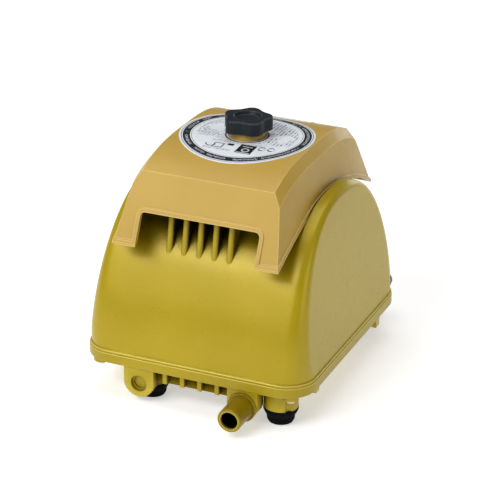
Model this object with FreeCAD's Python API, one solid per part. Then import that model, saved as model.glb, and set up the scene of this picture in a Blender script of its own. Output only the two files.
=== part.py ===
import FreeCAD, Part
import math
import os

# Linear-diaphragm pond air pump. Millimetres, +Z up, +X right, front (outlet side) towards -Y.
# The origin is on the floor, straight below the axis of the knob.

Vector = FreeCAD.Vector
X_AXIS = Vector(1, 0, 0)
Y_AXIS = Vector(0, 1, 0)
Z_AXIS = Vector(0, 0, 1)

# ---- driving dimensions -------------------------------------------------------------------
gap = 0.05                      # running clearance, radial
hole_slack = 0.1                # clearance round a fastener, radial
face_gap = 0.1                  # gap between faces that are only laid together

rim_half_x = 100.5              # base rim, half width
rim_half_y = 114.0              # base rim, half depth
rim_corner = 26.8
rim_bottom = 31.0
rim_top = 40.0
rim_wall = 5.0
floor_thickness = 3.0

gasket_thickness = 0.3
gasket_inset = 1.9
dome_base = rim_top + gasket_thickness
bead_height = 1.9
bead_inset = 0.5

dome_half_x = 98.9              # upper housing at its foot
dome_half_y = 111.9
dome_height = 130.0
dome_hollow_height = 120.5
dome_shoulder_power = 2.38      # exponents of the arched profile
dome_crown_power = 1.8
dome_lean = 13.9                # inward lean of the flat end faces from foot to crest
dome_foot_round = 26.0          # corner rounding at the foot and at the crest
dome_crest_round = 5.0
dome_round_power = 0.6
dome_wall = 3.5
profile_steps = 28
round_steps = 4

well_half_x = 52.0              # filter well on top of the upper housing
well_half_y = 50.0
well_wall = 3.0
well_floor = 163.0
well_top = 176.0
pad_height = 14.0
intake_hole_radius = 6.0
intake_ring_radius = 30.0
intake_count = 6
saddle_half_x = 74.0             # shallow saddle in the crest, under the cover
saddle_gap = 1.0

stud_radius = 4.0
stud_head_bottom = 150.0
stud_boss_bottom = 155.0
stud_boss_top = 172.0
stud_boss_radius = 14.0
stud_top = 217.0
stud_nut_height = 4.5
hex_corner_m8 = 7.5

rib_count = 5                   # upright ribs on each slope, below the cover's cutout
rib_pitch = 13.3
rib_middle_x = -5.3             # the row of ribs stands left of the middle
rib_thickness = 5.4
rib_round = 2.5
rib_top = 170.0
rib_nose = (-85.2, 127.6)       # (y, z) where the ridge of a rib starts, just above its rounded nose
rib_ridge_top = (-78.0, rib_top)

foot_height = 14.0
boss_radius_at_feet = 14.3
feet = {
    "foot_front_left": (-43.0, -92.0),
    "foot_front_right": (72.0, -92.0),
    "foot_rear_left": (-69.0, 88.0),
    "foot_rear_right": (69.0, 88.0),
}
foot_screw_radius = 2.0

port_x = 46.5                   # outlet block; the undrilled twin of it is at -port_x
port_half_width = 13.4
port_bottom = 5.0
port_face = -113.0
nozzle_z = 16.5
nozzle_end = -139.5
nozzle_radius = 10.25
nozzle_bore = 7.4
nozzle_spigot = 9.0
nozzle_spigot_length = 10.0
port_block_rear = -100.6         # clear of the foot beside it
nozzle_flange_radius = 12.5
duct_y = -95.0
duct_radius = 5.0

fin_pitch = 15.5                # long ribs under the floor
fin_middle_x = -0.6
fin_width = 3.6
fin_bottom = 20.5

screws_at = [(-84.6, -103.2), (84.6, -103.2), (-52.0, 101.0), (52.0, 101.0)]  # through both housings
screw_radius = 2.5
screw_head_radius = 3.8
screw_head_height = 3.0
screw_seat = 27.5
screw_head_room = 4.2
screw_tip = 58.0
pillar_radius = 6.5
boss_radius = 7.8

gland_x = 78.0
gland_z = 31.0
gland_thread = 6.5
gland_bore = 3.5
gland_end = 139.5

cover_peak = 204.2              # top of the filter cover at its middle
cover_arch_power = 3.15         # the top is nearly level at the middle and bends down to the creases
cover_top_half = 57.6
cover_chamfer_x = 6.4
cover_chamfer_z = 8.3
cover_side_slope = 0.25         # the sides widen by this much per mm of drop
cover_crease_y = 79.3
cover_crease_z = 192.4
cover_leg_y = 105.6
cover_leg_z = 136.3
cover_edge_peak = 165.5         # lower edge of the sides, at the middle
cover_wall = 3.0
cover_lip = 1.0
cover_lip_width = 3.3
cutout_half = 52.0
cutout_top = 162.7
cutout_corner = 4.0
collar_foot_radius = 15.5
collar_head_radius = 14.2
collar_top = 209.2
cover_lift = 60.0

label_radius = 56.4
label_hole = 16.0
label_thickness = 0.3

washer_thickness = 1.0
knob_bottom = collar_top + washer_thickness
knob_top = 221.3
knob_mean_radius = 19.1
knob_lobe = 1.9
knob_lobes = 5
knob_phase = math.radians(25)
knob_recess_radius = 11.6
knob_recess_depth = 2.5
knob_pocket_top = 218.0

tank_half_x = 76.0              # flat air chamber that lies in the base
tank_front = -104.0
tank_rear = 70.0
tank_corner = 18.0
tank_wall = 3.0
tank_bottom = rim_bottom + floor_thickness
tank_top = 48.0
tank_seal = 0.8                 # thickness of the tank's gasket
lid_thickness = 3.0
tank_screws_at = [(-66.5, -94.5), (66.5, -94.5), (-66.5, 60.5), (66.5, 60.5), (0, -98), (0, 64)]
nipple_x = 69.0
nipple_radius = 6.0
nipple_bore = 4.2

mount_x = 36.0                  # rubber mounts of the drive
mount_y = 34.0
mount_height = 10.0
frame_half_x = 47.0
frame_half_y = 46.0
frame_sheet = 3.0
axis_z = 102.0                  # height of the armature's axis
head_half = 36.0
head_corner = 8.0
head_hole = 30.0                # clamp screws, from the head's axis
diaphragm_thickness = 2.5
clamp_radius = 28.0
cavity_radius = 27.0
plate_radius = 17.0
plate_thickness = 2.0
valve_wall_x = 60.0
valve_wall = 3.0
head_outer_x = 75.0
head_cover_thickness = 3.0
port_offset = 14.0
valve_port_radius = 5.0
flap_half_width = 7.0
flap_length = 14.0
flap_thickness = 1.0

core_half_height = 14.0
core_gap = 13.0                 # pole faces, from the armature's axis
core_back = 36.0
core_rear = 46.0
rod_radius = 4.0
rod_end_radius = 3.0
rod_length = 56.0
magnet_thickness = 4.0

inner_plate_x = frame_half_x - plate_thickness
outer_plate_x = frame_half_x + diaphragm_thickness
lid_bottom = tank_top + tank_seal
lid_top = lid_bottom + lid_thickness
frame_bottom = lid_top + mount_height
frame_top = frame_bottom + frame_sheet


# ---- small helpers ------------------------------------------------------------------------
def box(x0, x1, y0, y1, z0, z1):
    return Part.makeBox(x1 - x0, y1 - y0, z1 - z0, Vector(x0, y0, z0))


def rod(radius, start, end):
    """A cylinder from one point to another."""
    start = Vector(*start)
    axis = Vector(*end) - start
    return Part.makeCylinder(radius, axis.Length, start, axis)


def pipe(outer, inner, start, end):
    return rod(outer, start, end).cut(rod(inner, start, end))


def polygon_prism(points, direction):
    """A prism from a closed polygon of 3-D points."""
    corners = [Vector(*p) for p in points]
    wire = Part.makePolygon(corners + corners[:1])
    return Part.Face(wire).extrude(Vector(*direction))


def hex_prism(corner_radius, start, end):
    """A hexagonal prism between two points."""
    start = Vector(*start)
    axis = Vector(*end) - start
    side = Y_AXIS if abs(axis.z) < axis.Length / 2 and abs(axis.y) < axis.Length / 2 else X_AXIS
    across = axis.cross(side).normalize()
    side = across.cross(axis).normalize()
    corners = []
    for k in range(6):
        turn = math.radians(60 * k)
        corners.append(start + side * corner_radius * math.cos(turn) + across * corner_radius * math.sin(turn))
    return Part.Face(Part.makePolygon(corners + corners[:1])).extrude(axis)


def round_rect_wire(half_u, half_v, radius):
    """A rounded rectangle round the origin, in the XY plane."""
    edges = []
    cu = half_u - radius
    cv = half_v - radius
    diagonal = radius * math.sqrt(0.5)
    edges.append(Part.makeLine(Vector(-cu, -half_v, 0), Vector(cu, -half_v, 0)))
    edges.append(Part.Arc(Vector(cu, -half_v, 0), Vector(cu + diagonal, -cv - diagonal, 0),
                          Vector(half_u, -cv, 0)).toShape())
    edges.append(Part.makeLine(Vector(half_u, -cv, 0), Vector(half_u, cv, 0)))
    edges.append(Part.Arc(Vector(half_u, cv, 0), Vector(cu + diagonal, cv + diagonal, 0),
                          Vector(cu, half_v, 0)).toShape())
    edges.append(Part.makeLine(Vector(cu, half_v, 0), Vector(-cu, half_v, 0)))
    edges.append(Part.Arc(Vector(-cu, half_v, 0), Vector(-cu - diagonal, cv + diagonal, 0),
                          Vector(-half_u, cv, 0)).toShape())
    edges.append(Part.makeLine(Vector(-half_u, cv, 0), Vector(-half_u, -cv, 0)))
    edges.append(Part.Arc(Vector(-half_u, -cv, 0), Vector(-cu - diagonal, -cv - diagonal, 0),
                          Vector(-cu, -half_v, 0)).toShape())
    return Part.Wire(edges)


def round_slab(half_x, half_y, radius, z0, z1, centre=(0, 0)):
    """An upright slab whose plan is a rounded rectangle."""
    slab = Part.Face(round_rect_wire(half_x, half_y, radius)).extrude(Vector(0, 0, z1 - z0))
    slab.translate(Vector(centre[0], centre[1], z0))
    return slab


def head_slab(x0, x1):
    """A slab across the armature's axis, with the outline that the two pump heads share."""
    slab = Part.Face(round_rect_wire(head_half, head_half, head_corner)).extrude(Vector(0, 0, x1 - x0))
    slab.rotate(Vector(0, 0, 0), Y_AXIS, 90)
    slab.translate(Vector(x0, 0, axis_z))
    return slab


def turned(points):
    """A solid of revolution round the Z axis from a closed outline of (radius, height) points."""
    corners = [Vector(r, 0, z) for r, z in points]
    face = Part.Face(Part.makePolygon(corners + corners[:1]))
    return face.revolve(Vector(0, 0, 0), Z_AXIS, 360)


def all_corners(x, y):
    return [(sx * x, sy * y) for sx in (-1, 1) for sy in (-1, 1)]


def edges_at(shape, z, tolerance=0.01):
    """The edges that lie wholly at one height."""
    found = []
    for edge in shape.Edges:
        bounds = edge.BoundBox
        if abs(bounds.ZMin - z) < tolerance and abs(bounds.ZMax - z) < tolerance:
            found.append(edge)
    return found


def mirrored(shape):
    return shape.mirror(Vector(0, 0, 0), X_AXIS)


def both_sides(solids):
    return solids + [mirrored(solid) for solid in solids]


# ---- upper housing ------------------------------------------------------------------------
def dome_profile_point(turn, inset, height):
    """A point (y, z) of the arched profile; turn runs from 0 at the front foot to pi at the rear."""
    across = abs(math.cos(turn)) ** (2 / dome_shoulder_power)
    rise = abs(math.sin(turn)) ** (2 / dome_crown_power)
    y = -math.copysign((dome_half_y - inset) * across, math.cos(turn))
    return y, dome_base + height * rise


def dome_profile_normal(turn, inset, height):
    """The outward direction (y, z) of the profile; it is level at both feet."""
    step = 0.01
    if turn < step:
        return -1.0, 0.0
    if turn > math.pi - step:
        return 1.0, 0.0
    y0, z0 = dome_profile_point(turn - step, inset, height)
    y1, z1 = dome_profile_point(turn + step, inset, height)
    length = math.hypot(y1 - y0, z1 - z0)
    return (z0 - z1) / length, (y1 - y0) / length


def dome_section(side, angle, inset, height):
    """One closed section of the housing. angle runs from 0, where the end's rounding starts,
    to 90 degrees, where it meets the end face."""
    points = []
    for k in range(profile_steps + 1):
        turn = math.pi * k / profile_steps
        y, z = dome_profile_point(turn, inset, height)
        ny, nz = dome_profile_normal(turn, inset, height)
        share = (z - dome_base) / height
        radius = dome_foot_round + (dome_crest_round - dome_foot_round) * share ** dome_round_power - inset
        sunk = radius * (1 - math.cos(angle))
        y -= ny * sunk
        z -= nz * sunk
        end = dome_half_x - inset - dome_lean * (z - dome_base) / dome_height
        points.append(Vector(side * (end - radius * (1 - math.sin(angle))), y, z))
    return closed_section(points)


def closed_section(points):
    curve = Part.BSplineCurve()
    curve.interpolate(points)
    return Part.Wire([curve.toShape(), Part.makeLine(points[-1], points[0])])


def dome_middle_section(x, inset, height):
    points = []
    for k in range(profile_steps + 1):
        y, z = dome_profile_point(math.pi * k / profile_steps, inset, height)
        points.append(Vector(x, y, z))
    return closed_section(points)


def dome_solid(inset, height):
    """The filled form of the upper housing, or of its hollow when inset is the wall."""
    angles = [math.pi / 2 * k / round_steps for k in range(round_steps + 1)]
    sections = [dome_section(-1, angle, inset, height) for angle in reversed(angles)]
    sections += [dome_middle_section(x, inset, height) for x in (-45, -15, 15, 45)]
    sections += [dome_section(1, angle, inset, height) for angle in angles]
    return Part.makeLoft(sections, True, False)


def slope_rib(x):
    """One rib with a round ridge and a round nose; it reaches back to the wall of the filter well."""
    start = Vector(x - rib_thickness / 2, 0, 0)
    top = start + Vector(0, *rib_ridge_top)
    nose = start + Vector(0, *rib_nose)
    along = (nose - top).normalize()
    inward = Vector(0, -along.z, along.y)
    bend = rib_round + 0.5
    under = nose + (inward + along) * bend
    halfway = nose + inward * bend * (1 - math.sqrt(0.5)) + along * bend * math.sqrt(0.5)
    hidden = under + inward * 12.0
    wall_foot = start + Vector(0, -50.5, 150.0)
    wall_top = start + Vector(0, -50.5, rib_top)
    edges = [Part.makeLine(top, nose), Part.Arc(nose, halfway, under).toShape(), Part.makeLine(under, hidden),
             Part.makeLine(hidden, wall_foot), Part.makeLine(wall_foot, wall_top), Part.makeLine(wall_top, top)]
    rib = Part.Face(Part.Wire(edges)).extrude(Vector(rib_thickness, 0, 0))
    front = rib_nose[0] - 1
    outer = [edge for edge in rib.Edges
             if edge.BoundBox.XLength < 0.01 and edge.BoundBox.YMin < rib_ridge_top[0] and edge.BoundBox.YMin > front
             and edge.BoundBox.ZMax < rib_top + 1 and edge.CenterOfMass.y < rib_ridge_top[0]]
    return rib.makeFillet(rib_round, outer)


def slope_ribs():
    """The upright ribs on the front and rear slopes."""
    ribs = [slope_rib(rib_middle_x + (k - (rib_count - 1) / 2) * rib_pitch) for k in range(rib_count)]
    return ribs + [rib.mirror(Vector(0, 0, 0), Y_AXIS) for rib in ribs]


def above_saddle():
    """The part of the crest that is cut away so that the cover's sides clear it."""
    sagitta = cover_edge_peak - cover_leg_z
    radius = (cover_leg_y ** 2 + sagitta ** 2) / (2 * sagitta)
    peak = cover_edge_peak - saddle_gap
    block = box(-saddle_half_x, saddle_half_x, -90, 90, 140, 200)
    return block.cut(rod(radius, (-90, 0, peak - radius), (90, 0, peak - radius)))


def upper_housing():
    outer = dome_solid(0, dome_height)
    bead = round_slab(rim_half_x - bead_inset, rim_half_y - bead_inset, rim_corner - bead_inset,
                      dome_base, dome_base + bead_height)
    bead = bead.makeFillet(bead_height * 0.48, edges_at(bead, dome_base + bead_height))
    shell = outer.cut(above_saddle()).multiFuse([bead] + slope_ribs())
    shell = shell.cut(dome_solid(dome_wall, dome_hollow_height))

    inner_x = well_half_x - well_wall
    inner_y = well_half_y - well_wall
    tall_inside = box(-inner_x, inner_x, -inner_y, inner_y, 140.0, 200.0)
    shell = shell.cut(tall_inside)
    walls = box(-well_half_x, well_half_x, -well_half_y, well_half_y, 148.0, well_top).cut(tall_inside)
    floor = box(-inner_x, inner_x, -inner_y, inner_y, well_floor - well_wall, well_floor)
    stud_boss = rod(stud_boss_radius, (0, 0, stud_boss_bottom), (0, 0, stud_boss_top))
    screw_bosses = [rod(boss_radius, (x, y, dome_base), (x, y, screw_tip + 4)).common(outer)
                    for x, y in screws_at]
    shell = shell.multiFuse([walls, floor, stud_boss] + screw_bosses)

    holes = [rod(stud_radius + hole_slack, (0, 0, stud_boss_bottom - 1), (0, 0, stud_boss_top + 1))]
    for k in range(intake_count):
        turn = 2 * math.pi * k / intake_count
        x = intake_ring_radius * math.cos(turn)
        y = intake_ring_radius * math.sin(turn)
        holes.append(rod(intake_hole_radius, (x, y, 150.0), (x, y, well_floor + 1)))
    for x, y in screws_at:
        holes.append(rod(screw_radius + gap, (x, y, dome_base - 1), (x, y, screw_tip + 2)))
    return shell.cut(Part.makeCompound(holes)).removeSplitter()


# ---- base housing -------------------------------------------------------------------------
def port_block(x, half_width, bottom, y0, y1):
    """A U-shaped block that hangs from the floor."""
    arc_z = bottom + half_width
    upper = box(x - half_width, x + half_width, y0, y1, arc_z, rim_bottom + 1)
    return upper.fuse(rod(half_width, (x, y0, arc_z), (x, y1, arc_z)))


def base_underside():
    """Everything that hangs below the floor: port blocks, foot bosses, long ribs, tabs and pillars."""
    foot_x, foot_y = feet["foot_front_left"]
    lug_rear = foot_y - boss_radius_at_feet - 0.6
    solids = [port_block(port_x, port_half_width, port_bottom, port_face, port_block_rear),
              port_block(port_x, 8.0, nozzle_z - 8.0, port_block_rear - 0.5, duct_y + 8),
              port_block(-port_x, port_half_width, port_bottom, port_face + 1, lug_rear),
              box(-port_x - port_half_width, -port_x + port_half_width, lug_rear - 1, foot_y,
                  foot_height + 0.4, rim_bottom + 1)]
    for x, y in feet.values():
        solids.append(rod(boss_radius_at_feet, (x, y, foot_height), (x, y, rim_bottom + 1)))
    for k in (-1.5, -0.5, 0.5, 1.5):
        x = fin_middle_x + k * fin_pitch
        solids.append(box(x - fin_width / 2, x + fin_width / 2, -110.0, 100.0, fin_bottom, rim_bottom + 1))
    solids.append(box(-33.2, 33.2, -104.0, -101.0, fin_bottom - 2, rim_bottom + 1))
    for side, y, half, bottom in ((-1, -15.0, 4.5, 25.0), (1, -78.0, 4.5, 25.0), (-1, 64.0, 5.0, 21.0),
                                  (1, 64.0, 5.0, 21.0)):
        x = side * 94.0
        tab = [(x, y - half, rim_bottom + 1), (x, y + half, rim_bottom + 1),
               (x, y + half - 1, bottom), (x, y - half + 1, bottom)]
        solids.append(polygon_prism(tab, (side * 4.0, 0, 0)))
    for x, y in screws_at:
        solids.append(rod(pillar_radius, (x, y, screw_seat), (x, y, rim_top)))
    half = gland_thread + 3.5
    under = box(gland_x - half, gland_x + half, 88.0, rim_half_y - 2, gland_z - half, rim_bottom + 1)
    inside = box(gland_x - half, gland_x + half, 104.0, rim_half_y - 2, rim_bottom, rim_top)
    plan = round_slab(rim_half_x, rim_half_y, rim_corner, gland_z - half, rim_top)
    solids.append(under.fuse(inside).common(plan))
    return solids


def base_housing():
    tray = round_slab(rim_half_x, rim_half_y, rim_corner, rim_bottom, rim_top)
    tray = tray.makeFillet(1.0, edges_at(tray, rim_bottom))
    tray = tray.makeFillet(0.5, edges_at(tray, rim_top))
    pocket = round_slab(rim_half_x - rim_wall, rim_half_y - rim_wall, rim_corner - rim_wall,
                        rim_bottom + floor_thickness, rim_top + 1)
    body = tray.cut(pocket).multiFuse(base_underside())

    cuts = [rod(screw_radius + hole_slack, (x, y, screw_seat - 1), (x, y, rim_top + 1)) for x, y in screws_at]
    cuts += [rod(screw_head_room, (x, y, foot_height - 1), (x, y, screw_seat)) for x, y in screws_at]
    cuts += [rod(foot_screw_radius + gap, (x, y, foot_height - 1), (x, y, 26.0)) for x, y in feet.values()]
    spigot_end = port_face + nozzle_spigot_length + face_gap
    cuts.append(rod(nozzle_spigot + gap, (port_x, port_face - 1, nozzle_z), (port_x, spigot_end, nozzle_z)))
    cuts.append(rod(duct_radius, (port_x, port_face, nozzle_z), (port_x, duct_y, nozzle_z)))
    cuts.append(rod(duct_radius, (port_x, duct_y, nozzle_z), (port_x, duct_y, tank_bottom + 1)))
    blind_z = nozzle_z + 0.5
    cuts.append(rod(7.2, (-port_x, port_face, blind_z), (-port_x, port_face + 3.8, blind_z)))
    cuts.append(rod(5.5, (-port_x, port_face, blind_z), (-port_x, port_face + 5.2, blind_z)))
    cuts.append(rod(gland_thread + gap, (gland_x, 98.0, gland_z), (gland_x, rim_half_y + 1, gland_z)))
    cuts.append(rod(4.5, (gland_x, 92.0, gland_z), (gland_x, 99.0, gland_z)))
    cuts.append(rod(4.5, (gland_x, 94.0, gland_z), (gland_x, 94.0, tank_bottom + 1)))
    return body.cut(Part.makeCompound(cuts)).removeSplitter()


def housing_gasket():
    inset = gasket_inset
    outer = round_slab(rim_half_x - inset, rim_half_y - inset, rim_corner - inset, rim_top, dome_base)
    hollow = round_slab(rim_half_x - rim_wall, rim_half_y - rim_wall, rim_corner - rim_wall,
                        rim_top - 1, dome_base + 1)
    holes = [rod(screw_radius + hole_slack, (x, y, rim_top - 1), (x, y, dome_base + 1)) for x, y in screws_at]
    return outer.cut(Part.makeCompound([hollow] + holes))


def pan_screw(x, y, head_bottom, head_height, head_radius, shank_radius, tip):
    """A cross-head screw that stands upright with its head below (tip above) or above (tip below)."""
    toward_tip = 1 if tip > head_bottom else -1
    seat = head_bottom + toward_tip * head_height
    head = rod(head_radius, (x, y, head_bottom), (x, y, seat))
    outer = [e for e in edges_at(head, head_bottom) if e.Length > head_radius * 6]
    head = head.makeFillet(head_height * 0.45, outer)
    slot_depth = head_bottom + toward_tip * head_height * 0.6
    z0, z1 = sorted((head_bottom - toward_tip, slot_depth))
    arm = head_radius * 0.55
    cross = box(x - arm, x + arm, y - 0.4, y + 0.4, z0, z1).fuse(box(x - 0.4, x + 0.4, y - arm, y + arm, z0, z1))
    return head.fuse(rod(shank_radius, (x, y, seat), (x, y, tip))).cut(cross)


def housing_screws():
    return [pan_screw(x, y, screw_seat - screw_head_height, screw_head_height, screw_head_radius, screw_radius,
                      screw_tip) for x, y in screws_at]


# ---- feet ---------------------------------------------------------------------------------
def rubber_foot(x, y):
    outline = [(2.2, 4.5), (4.8, 4.5), (4.8, 0.0), (8.6, 0.0), (10.2, 0.8), (11.3, 2.8), (11.8, 6.5),
               (13.9, 10.4), (14.5, 12.0), (14.5, foot_height), (2.2, foot_height)]
    foot = turned(outline)
    foot.translate(Vector(x, y, 0))
    return foot


def foot_screws():
    return [pan_screw(x, y, 1.5, 3.0, 3.9, foot_screw_radius, 24.0) for x, y in feet.values()]


# ---- outlet and cable gland ---------------------------------------------------------------
def outlet_nozzle():
    flange_front = port_face - 2.0
    tube = rod(nozzle_radius, (port_x, nozzle_end, nozzle_z), (port_x, flange_front, nozzle_z))
    tip = [e for e in tube.Edges if abs(e.BoundBox.YMax - nozzle_end) < 0.01]
    tube = tube.makeFillet(1.0, tip)
    flange = rod(nozzle_flange_radius, (port_x, flange_front, nozzle_z), (port_x, port_face, nozzle_z))
    inner_end = port_face + nozzle_spigot_length
    spigot = rod(nozzle_spigot, (port_x, port_face, nozzle_z), (port_x, inner_end, nozzle_z))
    bore = rod(nozzle_bore, (port_x, nozzle_end - 1, nozzle_z), (port_x, inner_end + 1, nozzle_z))
    return tube.multiFuse([flange, spigot]).cut(bore).removeSplitter()


def cable_gland():
    """The gland's body and dome, with an empty bore: no cord is fitted."""
    face = rim_half_y
    thread = rod(gland_thread, (gland_x, 99.0, gland_z), (gland_x, face, gland_z))
    hexagon = hex_prism(9.5, (gland_x, face, gland_z), (gland_x, face + 4, gland_z))
    barrel = rod(7.8, (gland_x, face + 4, gland_z), (gland_x, face + 16, gland_z))
    nose = Part.makeCone(7.8, 6.2, gland_end - face - 16, Vector(gland_x, face + 16, gland_z), Y_AXIS)
    bore = rod(gland_bore, (gland_x, 98.0, gland_z), (gland_x, gland_end + 1, gland_z))
    return thread.multiFuse([hexagon, barrel, nose]).cut(bore).removeSplitter()


# ---- filter cover -------------------------------------------------------------------------
def cover_section(y, inset):
    """The cover's closed cross-section at one depth, from far below its lower edge to its top."""
    bottom = 110.0
    top = cover_peak - (cover_peak - cover_crease_z) * (abs(y) / cover_crease_y) ** cover_arch_power
    chamfer_turn = math.atan2(cover_chamfer_z, cover_chamfer_x)
    side_turn = math.atan2(1, cover_side_slope)
    half = cover_top_half - inset * math.tan(chamfer_turn / 2)
    along = math.tan((side_turn - chamfer_turn) / 2)
    shoulder = cover_top_half + cover_chamfer_x - inset * (math.sin(side_turn) - math.cos(side_turn) * along)
    shoulder_z = top - cover_chamfer_z - inset * (math.cos(side_turn) + math.sin(side_turn) * along)
    foot = shoulder + cover_side_slope * (shoulder_z - bottom)
    right = [(foot, bottom), (shoulder, shoulder_z), (half, top - inset)]
    left = [(-x, z) for x, z in reversed(right)]
    corners = [Vector(x, y, z) for x, z in right + left]
    return Part.makePolygon(corners + corners[:1])


def cover_wedge(inset):
    """The space between the cover's sloping front and rear faces."""
    run = cover_leg_y - cover_crease_y
    rise = cover_crease_z - cover_leg_z
    shift = inset * math.hypot(run, rise) / rise
    lean = run / rise
    low = 100.0
    high = 240.0
    foot = cover_leg_y + (cover_leg_z - low) * lean - shift
    head = cover_crease_y - (high - cover_crease_z) * lean - shift
    corners = [(-110, -foot, low), (-110, foot, low), (-110, head, high), (-110, -head, high)]
    return polygon_prism(corners, (220, 0, 0))


def cover_form(inset):
    """The cover's filled outer form, drawn in by inset."""
    depths = [-106, -92, -79, -65, -50, -34, -17, 0, 17, 34, 50, 65, 79, 92, 106]
    body = Part.makeLoft([cover_section(y, inset) for y in depths], True, False)
    return body.common(cover_wedge(inset))


def below_edge(raise_by):
    """Everything below the arched lower edge of the cover's sides."""
    reach = 125.0
    sagitta = cover_edge_peak - cover_leg_z
    radius = (cover_leg_y ** 2 + sagitta ** 2) / (2 * sagitta)
    end_z = cover_edge_peak - (radius - math.sqrt(radius ** 2 - reach ** 2)) + raise_by
    top = Vector(-110, 0, cover_edge_peak + raise_by)
    left = Vector(-110, -reach, end_z)
    right = Vector(-110, reach, end_z)
    edges = [Part.Arc(left, top, right).toShape(),
             Part.makeLine(right, Vector(-110, reach, 60)),
             Part.makeLine(Vector(-110, reach, 60), Vector(-110, -reach, 60)),
             Part.makeLine(Vector(-110, -reach, 60), left)]
    return Part.Face(Part.Wire(edges)).extrude(Vector(220, 0, 0))


def cutout(grow):
    """The air inlet in the cover's front and rear faces."""
    half = cutout_half + grow
    top = cutout_top + grow
    slab = Part.Face(round_rect_wire(half, 40, cutout_corner + grow)).extrude(Vector(0, 0, 60))
    slab.rotate(Vector(0, 0, 0), X_AXIS, 90)
    slab.translate(Vector(0, -80, top - 40))
    return slab.fuse(slab.mirror(Vector(0, 0, 0), Y_AXIS))


def filter_cover():
    form = cover_form(0)
    bands = below_edge(cover_lip_width).fuse(cutout(cover_lip_width))
    lip = cover_form(-cover_lip).common(bands)
    shell = form.fuse(lip).cut(cover_form(cover_wall))
    shell = shell.cut(below_edge(0)).cut(cutout(0))

    collar_foot = cover_peak - 1.0
    collar = Part.makeCone(collar_foot_radius, collar_head_radius, collar_top - collar_foot,
                           Vector(0, 0, collar_foot), Z_AXIS)
    collar = collar.makeFillet(0.8, edges_at(collar, collar_top))
    tube = pipe(12.0, 9.0, (0, 0, stud_boss_top + face_gap), (0, 0, cover_peak - cover_wall + 0.4))
    hole = rod(stud_radius + 0.3, (0, 0, 190.0), (0, 0, collar_top + 1))
    return shell.multiFuse([collar, tube]).cut(hole).removeSplitter()


def skin_on_cover(outline):
    """A thin skin that follows the cover's top inside an upright outline."""
    lift = 0.02
    return cover_form(-lift - label_thickness).cut(cover_form(-lift)).common(outline)


def cover_label():
    ring = pipe(label_radius, label_hole, (0, 0, 190.0), (0, 0, 215.0))
    return skin_on_cover(ring)


def rear_label():
    return skin_on_cover(box(-20.0, 31.0, 61.0, 74.0, 185.0, 212.0))


# ---- knob ---------------------------------------------------------------------------------
def star_knob():
    points = []
    samples = 12 * knob_lobes
    for k in range(samples):
        turn = 2 * math.pi * k / samples
        radius = knob_mean_radius + knob_lobe * math.cos(knob_lobes * (turn - knob_phase))
        points.append(Vector(radius * math.cos(turn), radius * math.sin(turn), knob_bottom))
    curve = Part.BSplineCurve()
    curve.interpolate(Points=points, PeriodicFlag=True)
    body = Part.Face(Part.Wire([curve.toShape()])).extrude(Vector(0, 0, knob_top - knob_bottom))
    body = body.makeFillet(1.3, edges_at(body, knob_top))
    recess = Part.makeCone(knob_recess_radius - 2, knob_recess_radius, knob_recess_depth,
                           Vector(0, 0, knob_top - knob_recess_depth), Z_AXIS)
    pocket = hex_prism(7.2, (0, 0, knob_bottom - 1), (0, 0, knob_pocket_top))
    relief = pipe(14.0, 12.0, (0, 0, knob_bottom - 1), (0, 0, knob_bottom + 4))
    return body.cut(Part.makeCompound([recess, pocket, relief]))


def knob_insert():
    return hex_prism(7.2, (0, 0, knob_bottom), (0, 0, knob_pocket_top)).cut(
        rod(stud_radius + gap, (0, 0, knob_bottom - 1), (0, 0, knob_pocket_top + 1)))


def knob_washer():
    return pipe(10.5, stud_radius + 0.3, (0, 0, collar_top), (0, 0, knob_bottom - gap))


# ---- stud and filter ----------------------------------------------------------------------
def cover_stud():
    head = hex_prism(hex_corner_m8, (0, 0, stud_head_bottom), (0, 0, stud_boss_bottom))
    shank = rod(stud_radius, (0, 0, stud_boss_bottom), (0, 0, stud_top))
    shank = shank.makeChamfer(0.7, edges_at(shank, stud_top))
    return head.fuse(shank)


def stud_nut():
    top = stud_boss_top + stud_nut_height
    return hex_prism(hex_corner_m8, (0, 0, stud_boss_top), (0, 0, top)).cut(
        rod(stud_radius + gap, (0, 0, stud_boss_top - 1), (0, 0, top + 1)))


def filter_pad():
    inner_x = well_half_x - well_wall - 0.5
    inner_y = well_half_y - well_wall - 0.5
    pad = round_slab(inner_x, inner_y, 3.0, well_floor, well_floor + pad_height)
    return pad.cut(rod(stud_boss_radius + 1, (0, 0, well_floor - 1), (0, 0, well_floor + pad_height + 1)))


# ---- air tank -----------------------------------------------------------------------------
def tank_slab(z0, z1, inset=0.0):
    half_y = (tank_rear - tank_front) / 2
    middle = (tank_rear + tank_front) / 2
    return round_slab(tank_half_x - inset, half_y - inset, tank_corner - inset, z0, z1, (0, middle))


def tank_walls(z0, z1):
    """The tank's wall ring with its screw bosses, between two heights."""
    ring = tank_slab(z0, z1).cut(tank_slab(z0 - 1, z1 + 1, tank_wall))
    bosses = [rod(5.0, (x, y, z0), (x, y, z1)) for x, y in tank_screws_at]
    return ring.multiFuse(bosses)


def tank_screw_holes(radius, z0, z1):
    return Part.makeCompound([rod(radius, (x, y, z0), (x, y, z1)) for x, y in tank_screws_at])


def air_tank():
    floor_z = tank_bottom + 2.5
    tray = tank_slab(tank_bottom, floor_z).fuse(tank_walls(tank_bottom, tank_top))
    duct = rod(duct_radius, (port_x, duct_y, tank_bottom - 1), (port_x, duct_y, floor_z + 1))
    return tray.cut(duct).cut(tank_screw_holes(1.45 + gap, 38.0, tank_top + 1)).removeSplitter()


def tank_gasket():
    return tank_walls(tank_top, lid_bottom).cut(tank_screw_holes(1.7, tank_top - 1, lid_bottom + 1))


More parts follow.
